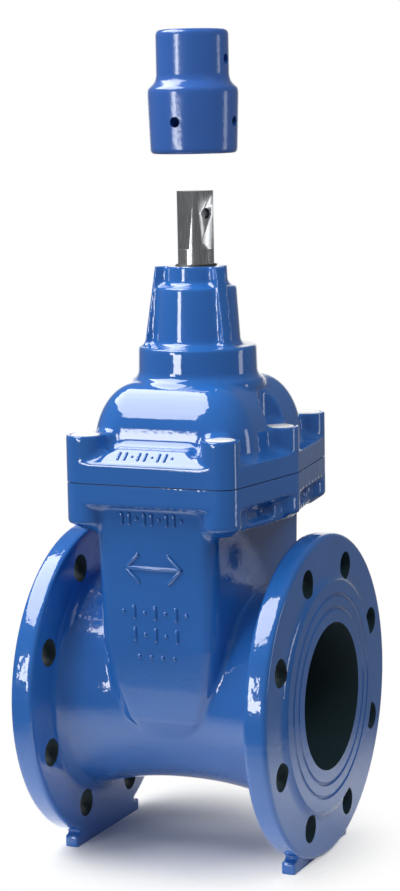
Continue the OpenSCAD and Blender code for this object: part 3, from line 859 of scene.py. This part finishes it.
def cap_shape():
    """Cap with a soft shoulder, a square socket at each end and cross holes."""
    crown_r, shoulder_r, brim_r = 24.5 * MM, 4.5 * MM, 3.5 * MM
    skirt_top = CAP_LOW + 41 * MM
    crown_foot = skirt_top + 9 * MM
    profile = [
        (CAP_R - 3.2 * MM, CAP_LOW), (CAP_R - 1.9 * MM, CAP_LOW + 0.7 * MM),
        (CAP_R - 1.2 * MM, CAP_LOW + 2.4 * MM), (CAP_R, skirt_top - 3 * MM)]
    profile += arc(CAP_R - shoulder_r, skirt_top, shoulder_r, 0, 60, 5)
    profile += [
        (crown_r + 0.9 * MM, crown_foot - 2 * MM), (crown_r, crown_foot + 1.5 * MM),
        (crown_r, CAP_TOP - brim_r)]
    profile += arc(crown_r - brim_r, CAP_TOP - brim_r, brim_r, 15, 90, 6)
    profile += [(17 * MM, CAP_TOP - 0.2 * MM)]
    obj = lathe("cap_casting", profile, 128)
    foot, roof, crown = 11.8 * MM, 10.05 * MM, 14 * MM
    low_socket = socket_cutter(wrap("low_socket", [
        block("foot", (-foot, -foot, CAP_LOW - 2 * MM), (foot, foot, CAP_LOW)),
        block("top", (-roof, -roof, CAP_LOW + 39 * MM), (roof, roof, CAP_LOW + 40 * MM))]),
        0.4 * MM, SQUARE_TURN)
    crown_socket = socket_cutter(block(
        "crown_socket", (-crown, -crown, CAP_TOP - 30 * MM), (crown, crown, CAP_TOP + 5 * MM)),
        1.2 * MM)
    reach, skirt_hole, crown_hole = 0.05, CAP_LOW + 21 * MM, CAP_TOP - 20 * MM
    holes = [
        bar("hole", (0, 0, z), (x, y, z), PIN_HOLE_R, 32)
        for x, y, z in ((0, -reach, skirt_hole), (reach, 0, skirt_hole), (reach, 0, crown_hole))]
    cut(obj, [crown_socket])
    fused(obj, 0.9 * MM, smoothing=4)
    seat = post("seat", (0, 0), 16 * MM, CAP_LOW - 1 * MM, CAP_LOW + 0.5 * MM)
    cut(obj, [seat, low_socket] + holes)
    return thinned(obj, most=90000)


def pill(start, end, r):
    """A rounded bar between two points, or a dot when they are the same."""
    ends = []
    for point in (start, end):
        deselect()
        bpy.ops.mesh.primitive_uv_sphere_add(segments=10, ring_count=6, radius=r, location=point)
        ends.append(named("pill"))
    return wrap("pill", ends)


def marks_on(surface, strokes, r, proud, origin, along, up, aim):
    """Raised strokes, given in millimetres, laid on a cast surface. aim points into the surface."""
    along, up, aim = Vector(along), Vector(up), Vector(aim)
    stand_off = 60
    placed = []
    for stroke in strokes:
        points = []
        for a, b in (stroke[:2], stroke[2:]):
            start = Vector(origin) + along * a * MM + up * b * MM - aim * stand_off * MM
            hit, place, _, _ = surface.ray_cast(start, aim)
            if not hit:
                raise RuntimeError("a mark misses the casting")
            points.append(place + aim * (r - proud))
        placed.append(pill(*points, r))
    return placed


def dashes(count, pitch, heights, z=0.0):
    """Upright bars side by side, centred, with their heights taken in turn."""
    strokes = []
    for k in range(count):
        x, h = (k - (count - 1) / 2) * pitch, heights[k % len(heights)] / 2
        strokes.append((x, z - h, x, z + h))
    return strokes


def neck_marks():
    """Foundry marks on the neck: rows of bars and dots round a two-way flow arrow."""
    strokes = dashes(9, 5.4, (6, 6, 0), 240)
    strokes += [(-20, 207, 20, 207), (-20, 207, -11, 216), (-20, 207, -11, 198),
                (20, 207, 11, 216), (20, 207, 11, 198)]
    strokes += dashes(7, 7.6, (0, 7), 177) + dashes(5, 7.6, (7, 0), 162) + dashes(4, 8.5, (0,), 147)
    return strokes


def cast_marks(body_obj, bonnet_obj):
    """The rows of marks on the neck and on the bonnet's front ledge."""
    neck_row = marks_on(
        body_obj, neck_marks(), r=1.6 * MM, proud=1.5 * MM, origin=(0, -0.08, 0),
        along=(1, 0, 0), up=(0, 0, 1), aim=(0, 1, 0))
    deck_row = marks_on(
        bonnet_obj, dashes(9, 4.8, (4.5, 4.5, 0)), r=1.1 * MM, proud=0.8 * MM,
        origin=(-2 * MM, 6.8 * MM - JOINT_Y, JOINT_Z + 20 * MM),
        along=(1, 0, 0), up=(0, 1, 0), aim=(0, 0, -1))
    return join("neck_marks", neck_row), join("ledge_marks", deck_row)


def sealing_plug(i):
    """Poured plug over a bolt head, a little domed, with a wavy rim."""
    bolt = BOLTS[i]
    r, rim, ripple = PLUG_R, 1.5 * MM, 0.25 * MM
    plug = lathe(f"seal_plug_{i + 1}", [
        (r, PLUG_LOW), (r, PLUG_HIGH - 1.1 * MM), (r - 0.5 * MM, PLUG_HIGH - 0.35 * MM),
        (r - 2 * MM, PLUG_HIGH - 0.05 * MM), (r * 0.4, PLUG_HIGH), (0.6 * MM, PLUG_HIGH)], 64)
    for vertex in plug.data.vertices:
        if vertex.co.z > PLUG_HIGH - rim:
            a = math.atan2(vertex.co.y, vertex.co.x)
            wave = math.sin(3 * a + i) + 0.6 * math.sin(5 * a + 2 * i)
            vertex.co.z -= ripple * (1 + 0.5 * wave) * (vertex.co.xy.length / r) ** 2
    return moved(plug, bolt.x, bolt.y)


def stem_shape():
    """Stem with a tapered square end, its corners left round, and chamfered edges."""
    node = frame["nodes"]["stem"]
    obj = node.copy()
    obj.data = node.data.copy()
    for key in list(obj.keys()):
        del obj[key]
    obj.parent = None
    bpy.context.collection.objects.link(obj)
    obj.name = obj.data.name = "stem_spindle"
    edited(obj, (bpy.ops.mesh.remove_doubles, {"threshold": 0.01 * MM}),
           (bpy.ops.mesh.dissolve_limited, {"angle_limit": math.radians(0.5)}))
    return shaped(
        obj, "BEVEL", width=0.45 * MM, segments=2, limit_method="ANGLE",
        angle_limit=math.radians(25))


# Operators


class VALVE_OT_body(bpy.types.Operator):
    """Cast body with flanges, feet, neck and joint flange"""
    bl_idname = "valve.body"
    bl_label = "Body Casting"

    def execute(self, context):
        scene = context.scene
        obj = cast_body(scene.valve_body_sizes, scene.valve_casting)
        finished(obj, body_paint(scene.valve_casting))
        # Second material: painted shade on the walls of the water way and the bolt holes.
        obj.data.materials.append(paint_bore_shade())
        paint_shade_in_holes(obj, scene.valve_body_sizes)
        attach(obj, "housing")
        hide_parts("valve_body")
        return {"FINISHED"}


class VALVE_OT_bonnet(bpy.types.Operator):
    """Cast bonnet with bosses, dome, collar and ribbed tower"""
    bl_idname = "valve.bonnet"
    bl_label = "Bonnet Casting"

    def execute(self, context):
        scene = context.scene
        obj = cast_bonnet(scene.valve_bonnet_sizes, scene.valve_casting)
        finished(obj, bonnet_paint(scene.valve_casting))
        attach(obj, "housing")
        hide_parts("bonnet")
        return {"FINISHED"}


class VALVE_OT_marks(bpy.types.Operator):
    """Raised foundry marks on the neck and on the bonnet's front ledge"""
    bl_idname = "valve.marks"
    bl_label = "Cast Marks"

    def execute(self, context):
        pieces = bpy.data.objects
        marks = cast_marks(pieces["body_casting"], pieces["bonnet_casting"])
        for obj, node in zip(marks, ("body_casting", "bonnet_casting")):
            finished(obj, pieces[node].data.materials[0], 60)
            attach(obj, "housing")
        return {"FINISHED"}


class VALVE_OT_plugs(bpy.types.Operator):
    """Sealing plugs poured over the bonnet bolts"""
    bl_idname = "valve.plugs"
    bl_label = "Sealing Plugs"

    def execute(self, context):
        wax = plug_wax()
        for i in range(len(BOLTS)):
            plug = finished(sealing_plug(i), wax)
            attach(plug, "housing")
            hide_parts(f"bolt_seal_{i + 1}")
        return {"FINISHED"}


class VALVE_OT_stem(bpy.types.Operator):
    """Steel stem with its square end"""
    bl_idname = "valve.stem"
    bl_label = "Stem"

    def execute(self, context):
        obj = finished(stem_shape(), brushed_steel("stainless_steel"), 30)
        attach(obj, "spindle")
        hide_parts("stem")
        return {"FINISHED"}


class VALVE_OT_cap(bpy.types.Operator):
    """Loose stem cap"""
    bl_idname = "valve.cap"
    bl_label = "Stem Cap"

    def execute(self, context):
        obj = finished(cap_shape(), cap_paint(context.scene.valve_casting))
        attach(obj, "cap")
        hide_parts("stem_cap")
        return {"FINISHED"}


class VALVE_OT_small_parts(bpy.types.Operator):
    """Finishes of the wedge, nut, bolts, gasket, ring and bush"""
    bl_idname = "valve.small_parts"
    bl_label = "Small Parts"

    def execute(self, context):
        finishes = small_finishes()
        slots = {part["node"]: part["material_slot"] for part in frame["record"]["subparts"]}
        for name, node in frame["nodes"].items():
            if slots[name] in finishes:
                node.data.materials.clear()
                node.data.materials.append(finishes[slots[name]])
        return {"FINISHED"}


# Soft boxes: name, direction from the target, distance, size, glow, target, seen in reflections
MIDDLE = (0, 0, 0.28)
LAMPS = (
    ("front_top_box", (-0.5, -0.25, 0.83), 1.7, (1.8, 1.05), 6.2, MIDDLE, True),
    ("back_top_box", (-0.3, 0.5, 0.8), 1.7, (1.1, 0.7), 3.2, MIDDLE, False),
    ("right_top_box", (0.62, -0.1, 0.76), 1.7, (0.9, 1.0), 4.4, MIDDLE, False),
    ("front_fill", (-0.1, -0.95, 0.2), 2.0, (0.9, 0.9), 1.7, MIDDLE, False),
    ("front_window", (-0.265, -0.95, -0.03), 2.0, (0.52, 0.24), 9, MIDDLE, True),
    ("side_window", (-0.41, -0.87, 0.22), 2.0, (0.34, 0.55), 9, (0, 0, 0.13), True),
    ("right_card", (0.9, 0.41, -0.08), 1.8, (0.32, 0.8), 2.0, (0, 0, 0.42), True))


def area_lamp(name, way, reach, size, glow, target, mirrored):
    """A soft box that stands off from its target. glow is its brightness as seen."""
    lamp = bpy.data.lights.new(name, "AREA")
    lamp.shape = "RECTANGLE"
    lamp.size, lamp.size_y = size
    lamp.energy = glow * math.pi * size[0] * size[1]
    obj = bpy.data.objects.new(name, lamp)
    bpy.context.collection.objects.link(obj)
    way = Vector(way).normalized()
    obj.location = Vector(target) + way * reach
    obj.rotation_euler = way.to_track_quat("Z", "Y").to_euler()
    obj.visible_camera = False
    obj.visible_glossy = mirrored
    return obj


def fade_out(nodes, links, offset, stretch, near, far):
    """Grows from 0 to 1 between two distances from a point on the floor."""
    place = nodes.new("ShaderNodeTexCoord")
    squeeze = nodes.new("ShaderNodeMapping")
    squeeze.inputs["Location"].default_value = (*offset, 0)
    squeeze.inputs["Scale"].default_value = (*stretch, 1)
    reach = nodes.new("ShaderNodeVectorMath")
    reach.operation = "LENGTH"
    fade = nodes.new("ShaderNodeMapRange")
    fade.interpolation_type = "SMOOTHSTEP"
    fade.inputs["From Min"].default_value = near
    fade.inputs["From Max"].default_value = far
    links.new(place.outputs["Object"], squeeze.inputs["Vector"])
    links.new(squeeze.outputs["Vector"], reach.inputs[0])
    links.new(reach.outputs["Value"], fade.inputs["Value"])
    return fade.outputs["Result"]


def pale_floor():
    """White floor that keeps the shadow near the object and fades into the white background."""
    material, nodes, links, shader = new_material("pale_floor")
    shader.inputs["Base Color"].default_value = (0.9, 0.9, 0.9, 1)
    shader.inputs["Roughness"].default_value = 0.9
    shader.inputs["Specular IOR Level"].default_value = 0.1
    wide = fade_out(nodes, links, (0, 0), (1, 1), near=0.14, far=0.42)
    tight = fade_out(nodes, links, (0.02, 0), (1, 1.1), near=0.05, far=0.17)
    path = nodes.new("ShaderNodeLightPath")
    choice = nodes.new("ShaderNodeMapRange")
    links.new(path.outputs["Is Camera Ray"], choice.inputs["Value"])
    links.new(wide, choice.inputs["To Min"])
    links.new(tight, choice.inputs["To Max"])
    clear = nodes.new("ShaderNodeBsdfTransparent")
    mix = nodes.new("ShaderNodeMixShader")
    links.new(choice.outputs["Result"], mix.inputs[0])
    links.new(shader.outputs["BSDF"], mix.inputs[1])
    links.new(clear.outputs["BSDF"], mix.inputs[2])
    output = next(node for node in nodes if node.bl_idname == "ShaderNodeOutputMaterial")
    links.new(mix.outputs[0], output.inputs["Surface"])
    return material


def studio_world(dim, away):
    """White background for the camera, and a dim room for the light.

    Reflections see the white only round the direction away from the camera."""
    world = bpy.data.worlds.new("studio")
    world.use_nodes = True
    nodes, links = world.node_tree.nodes, world.node_tree.links
    nodes.clear()
    depth = nodes.new("ShaderNodeVectorMath")
    depth.operation = "DOT_PRODUCT"
    depth.inputs[1].default_value = Vector(away).normalized()
    links.new(nodes.new("ShaderNodeTexCoord").outputs["Generated"], depth.inputs[0])
    wall = nodes.new("ShaderNodeMapRange")
    wall.interpolation_type = "SMOOTHSTEP"
    wall.inputs["From Min"].default_value = 0.86
    wall.inputs["From Max"].default_value = 0.985
    links.new(depth.outputs["Value"], wall.inputs["Value"])
    path = nodes.new("ShaderNodeLightPath").outputs
    mirror = combined(nodes, links, "ADD", path["Is Glossy Ray"], path["Is Transmission Ray"])
    seen = combined(nodes, links, "MULTIPLY", mirror, wall.outputs["Result"])
    white = combined(nodes, links, "ADD", path["Is Camera Ray"], seen, clamp=True)
    mix = nodes.new("ShaderNodeMixShader")
    links.new(white, mix.inputs[0])
    for socket, strength in ((1, dim), (2, 1.0)):
        background = nodes.new("ShaderNodeBackground")
        background.inputs["Color"].default_value = (1, 1, 1, 1)
        background.inputs["Strength"].default_value = strength
        links.new(background.outputs[0], mix.inputs[socket])
    output = nodes.new("ShaderNodeOutputWorld")
    links.new(mix.outputs[0], output.inputs["Surface"])
    return world


class VALVE_OT_stage(bpy.types.Operator):
    """Pale floor, soft lamps and the camera"""
    bl_idname = "valve.stage"
    bl_label = "Stage"

    def execute(self, context):
        scene = context.scene
        stage = scene.valve_stage
        deselect()
        bpy.ops.mesh.primitive_plane_add(size=4)
        floor = named("floor")
        floor.data.materials.append(pale_floor())
        scene.world = studio_world(dim=0.15, away=(-0.41, 0.9, 0))
        for name, way, reach, size, glow, target, mirrored in LAMPS:
            area_lamp(name, way, reach, size, glow * stage.lamp_power, target, mirrored)
        camera = bpy.data.cameras.new("camera")
        camera.sensor_fit = "AUTO"
        camera.sensor_width = 36
        camera.lens = stage.lens
        obj = bpy.data.objects.new("camera", camera)
        bpy.context.collection.objects.link(obj)
        turn = Matrix.Rotation(stage.camera_yaw, 4, "Z")
        turn = turn @ Matrix.Rotation(math.pi / 2 + stage.camera_pitch, 4, "X")
        turn = turn @ Matrix.Rotation(stage.camera_roll, 4, "Z")
        obj.matrix_world = Matrix.Translation(stage.camera_place) @ turn
        scene.camera = obj
        scene.view_settings.view_transform = "Standard"
        return {"FINISHED"}


class VALVE_PT_panel(bpy.types.Panel):
    """Sizes, colours and pieces of the gate valve"""
    bl_idname = "VALVE_PT_panel"
    bl_label = "Gate Valve"
    bl_space_type = "VIEW_3D"
    bl_region_type = "UI"
    bl_category = "Gate Valve"

    def draw(self, context):
        layout = self.layout
        for group in SETTINGS:
            settings = getattr(context.scene, group)
            box = layout.box()
            for name in settings.bl_rna.properties.keys():
                if name not in ("rna_type", "name"):
                    box.prop(settings, name)
        for operator in OPERATORS:
            layout.operator(operator.bl_idname)


SETTINGS = {
    "valve_casting": CastingSettings,
    "valve_body_sizes": BodySettings,
    "valve_bonnet_sizes": BonnetSettings,
    "valve_stage": StageSettings,
}
OPERATORS = (
    VALVE_OT_stage, VALVE_OT_body, VALVE_OT_bonnet, VALVE_OT_marks, VALVE_OT_plugs,
    VALVE_OT_stem, VALVE_OT_cap, VALVE_OT_small_parts)


def register():
    for cls in (*SETTINGS.values(), *OPERATORS, VALVE_PT_panel):
        bpy.utils.register_class(cls)
    for name, cls in SETTINGS.items():
        setattr(bpy.types.Scene, name, PointerProperty(type=cls))


def unregister():
    for name in SETTINGS:
        delattr(bpy.types.Scene, name)
    for cls in (VALVE_PT_panel, *reversed(OPERATORS), *reversed(SETTINGS.values())):
        bpy.utils.unregister_class(cls)


def main():
    register()
    bpy.ops.valve.stage()
    bpy.ops.valve.body()
    bpy.ops.valve.bonnet()
    bpy.ops.valve.marks()
    bpy.ops.valve.plugs()
    bpy.ops.valve.stem()
    bpy.ops.valve.cap()
    bpy.ops.valve.small_parts()


if __name__ == "__main__":
    main()
